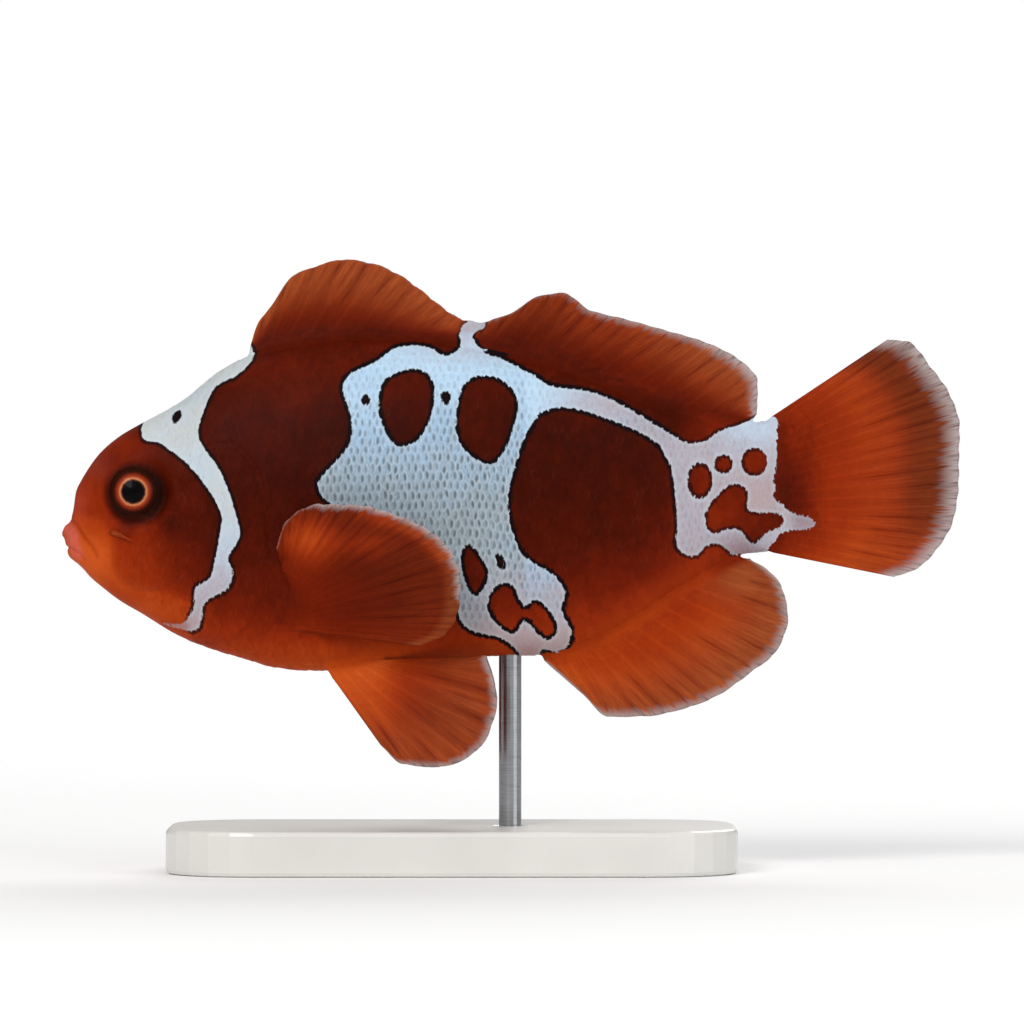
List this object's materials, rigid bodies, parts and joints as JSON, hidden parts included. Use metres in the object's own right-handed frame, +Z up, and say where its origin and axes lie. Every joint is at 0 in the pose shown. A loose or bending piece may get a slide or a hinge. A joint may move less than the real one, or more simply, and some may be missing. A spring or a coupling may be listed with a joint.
{
  "type": "maroon clownfish model",
  "caption": "Life-size maroon clownfish with netted white bars and spread fins, held level over a plain flat base by a slim rod.",
  "frame": {"origin": "on the floor, under the middle of the fish's length and on the plane that halves it", "axes": "+Z up, +X from the mouth towards the tail, the fish's left side faces -Y"},
  "size_m": [0.1202, 0.04, 0.0819],
  "materials": {
    "maroon_skin": "moist satin skin, deep maroon, with netted blue-white bars edged in black",
    "orange_skin": "moist satin skin, bright orange towards the chin",
    "fin_membrane": "satin fin membrane, orange-brown with darker rays and a grey-lilac fringe",
    "eye": "wet gloss, black pupil in a thin gold ring",
    "spine_bone": "satin bone",
    "stand_lacquer": "satin pale lacquer over close-grained wood",
    "stand_steel": "fine lengthwise brush"
  },
  "bodies": {
    "root": {"head": "maroon_skin", "lower_jaw": "orange_skin", "gill_cover_left": "maroon_skin", "gill_cover_right": "maroon_skin", "trunk": "maroon_skin", "tail_stalk": "maroon_skin", "dorsal_fin_spiny": "fin_membrane", "dorsal_fin_soft": "fin_membrane", "tail_fin": "fin_membrane", "anal_fin": "fin_membrane", "pelvic_fin_left": "fin_membrane", "pelvic_fin_right": "fin_membrane", "pectoral_fin_left": "fin_membrane", "pectoral_fin_right": "fin_membrane", "eye_left": "eye", "eye_right": "eye", "cheek_spine_left": "spine_bone", "cheek_spine_right": "spine_bone", "stand_base": "stand_lacquer", "stand_rod": "stand_steel"}
  },
  "joints": []
}
